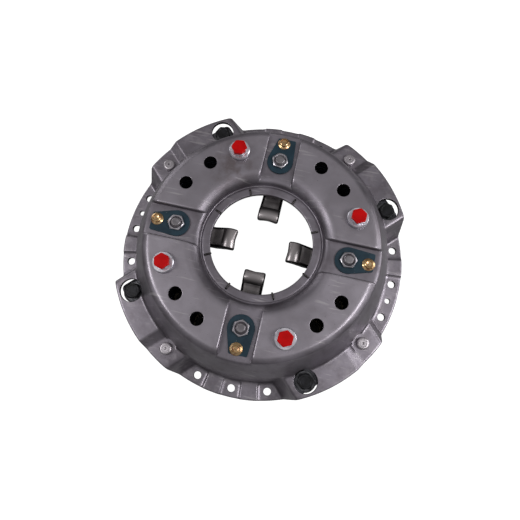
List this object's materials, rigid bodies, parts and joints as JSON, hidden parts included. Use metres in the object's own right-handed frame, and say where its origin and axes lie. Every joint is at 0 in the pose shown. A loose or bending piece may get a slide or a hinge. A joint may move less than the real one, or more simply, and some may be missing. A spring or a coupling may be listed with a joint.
{
  "type": "clutch cover assembly",
  "caption": "Pressed-steel clutch cover with coil-sprung pressure plate, release levers in a round opening, arched lugs and red-topped transit bolts.",
  "frame": {"origin": "centre of the face that bolts to the flywheel", "axes": "+Z away from the flywheel, along the clutch's axis; +X along the first release lever"},
  "size_m": [0.425, 0.425, 0.1109],
  "materials": {
    "cover_steel": "phosphated and thinly painted pressed steel, satin, a little stained",
    "cast_iron": "grey iron, as cast with a ground friction face",
    "heat_washer": "pressed heat-insulating fibre",
    "yellow_zinc": "yellow-passivated zinc, satin",
    "rivet_steel": "upset steel, turned rings on the head",
    "washer_steel": "plain steel washer",
    "black_oxide": "black oxide",
    "lever_steel": "dark forged steel, polished on the tip",
    "stud_steel": "turned steel",
    "nut_steel": "machined steel",
    "lock_paint": "dark blue-green paint, satin",
    "pin_steel": "ground steel",
    "wire_steel": "spring wire",
    "transit_red": "zinc-plated bolt with its head painted red",
    "bright_zinc": "bright zinc",
    "strap_steel": "blued spring steel",
    "spring_steel": "lacquered spring steel"
  },
  "bodies": {
    "cover": {"cover": "cover_steel", "lever_support_1": "stud_steel", "lever_support_2": "stud_steel", "lever_support_3": "stud_steel", "lever_support_4": "stud_steel", "adjusting_nut_1": "nut_steel", "adjusting_nut_2": "nut_steel", "adjusting_nut_3": "nut_steel", "adjusting_nut_4": "nut_steel", "lock_plate_1": "lock_paint", "lock_plate_2": "lock_paint", "lock_plate_3": "lock_paint", "lock_plate_4": "lock_paint", "lock_plate_screws": "yellow_zinc", "fulcrum_pin_1": "pin_steel", "fulcrum_pin_2": "pin_steel", "fulcrum_pin_3": "pin_steel", "fulcrum_pin_4": "pin_steel", "drive_strap_1": "strap_steel", "drive_strap_2": "strap_steel", "drive_strap_3": "strap_steel", "drive_strap_4": "strap_steel", "strap_rivets": "rivet_steel", "lever_return_spring_1": "wire_steel", "lever_return_spring_2": "wire_steel", "lever_return_spring_3": "wire_steel", "lever_return_spring_4": "wire_steel"},
    "plate": {"pressure_plate": "cast_iron", "lever_pin_1": "pin_steel", "lever_pin_2": "pin_steel", "lever_pin_3": "pin_steel", "lever_pin_4": "pin_steel", "heat_washers": "heat_washer", "strap_bolts": "black_oxide", "strap_washers": "washer_steel", "pressure_spring_01": "spring_steel", "pressure_spring_02": "spring_steel", "pressure_spring_03": "spring_steel", "pressure_spring_04": "spring_steel", "pressure_spring_05": "spring_steel", "pressure_spring_06": "spring_steel", "pressure_spring_07": "spring_steel", "pressure_spring_08": "spring_steel", "pressure_spring_09": "spring_steel", "pressure_spring_10": "spring_steel", "pressure_spring_11": "spring_steel", "pressure_spring_12": "spring_steel"},
    "lever_1": {"release_lever_1": "lever_steel"},
    "transit_1": {"transit_bolt_1": "transit_red", "transit_washer_1": "bright_zinc"},
    "lever_2": {"release_lever_2": "lever_steel"},
    "transit_2": {"transit_bolt_2": "transit_red", "transit_washer_2": "bright_zinc"},
    "lever_3": {"release_lever_3": "lever_steel"},
    "transit_3": {"transit_bolt_3": "transit_red", "transit_washer_3": "bright_zinc"},
    "lever_4": {"release_lever_4": "lever_steel"},
    "transit_4": {"transit_bolt_4": "transit_red", "transit_washer_4": "bright_zinc"}
  },
  "joints": [
    {"name": "plate_slide", "type": "slide", "parent": "cover", "child": "plate", "axis": [0, 0, 1], "range_m": [-0.004, 0.001], "deforming": ["pressure_spring_01", "pressure_spring_02", "pressure_spring_03", "pressure_spring_04", "pressure_spring_05", "pressure_spring_06", "pressure_spring_07", "pressure_spring_08", "pressure_spring_09", "pressure_spring_10", "pressure_spring_11", "pressure_spring_12", "drive_strap_1", "drive_strap_2", "drive_strap_3", "drive_strap_4"]},
    {"name": "lever_1_pivot", "type": "hinge", "parent": "cover", "child": "lever_1", "pos_m": [0.1178, 0, 0.058], "axis": [0, -1, 0], "range_deg": [-10.49, 2.66]},
    {"name": "lever_2_pivot", "type": "hinge", "parent": "cover", "child": "lever_2", "pos_m": [0, 0.1178, 0.058], "axis": [1, 0, 0], "range_deg": [-10.49, 2.66]},
    {"name": "lever_3_pivot", "type": "hinge", "parent": "cover", "child": "lever_3", "pos_m": [-0.1178, 0, 0.058], "axis": [0, 1, 0], "range_deg": [-10.49, 2.66]},
    {"name": "lever_4_pivot", "type": "hinge", "parent": "cover", "child": "lever_4", "pos_m": [0, -0.1178, 0.058], "axis": [-1, 0, 0], "range_deg": [-10.49, 2.66]},
    {"name": "transit_bolt_1_out", "type": "slide", "parent": "cover", "child": "transit_1", "axis": [0, 0, 1], "range_m": [0, 0.085]},
    {"name": "transit_bolt_2_out", "type": "slide", "parent": "cover", "child": "transit_2", "axis": [0, 0, 1], "range_m": [0, 0.085]},
    {"name": "transit_bolt_3_out", "type": "slide", "parent": "cover", "child": "transit_3", "axis": [0, 0, 1], "range_m": [0, 0.085]},
    {"name": "transit_bolt_4_out", "type": "slide", "parent": "cover", "child": "transit_4", "axis": [0, 0, 1], "range_m": [0, 0.085]}
  ],
  "couplings": [
    {"joint": "lever_1_pivot", "follows": "plate_slide", "rad_per_m": 45.553},
    {"joint": "lever_2_pivot", "follows": "plate_slide", "rad_per_m": 45.553},
    {"joint": "lever_3_pivot", "follows": "plate_slide", "rad_per_m": 45.553},
    {"joint": "lever_4_pivot", "follows": "plate_slide", "rad_per_m": 45.553}
  ]
}
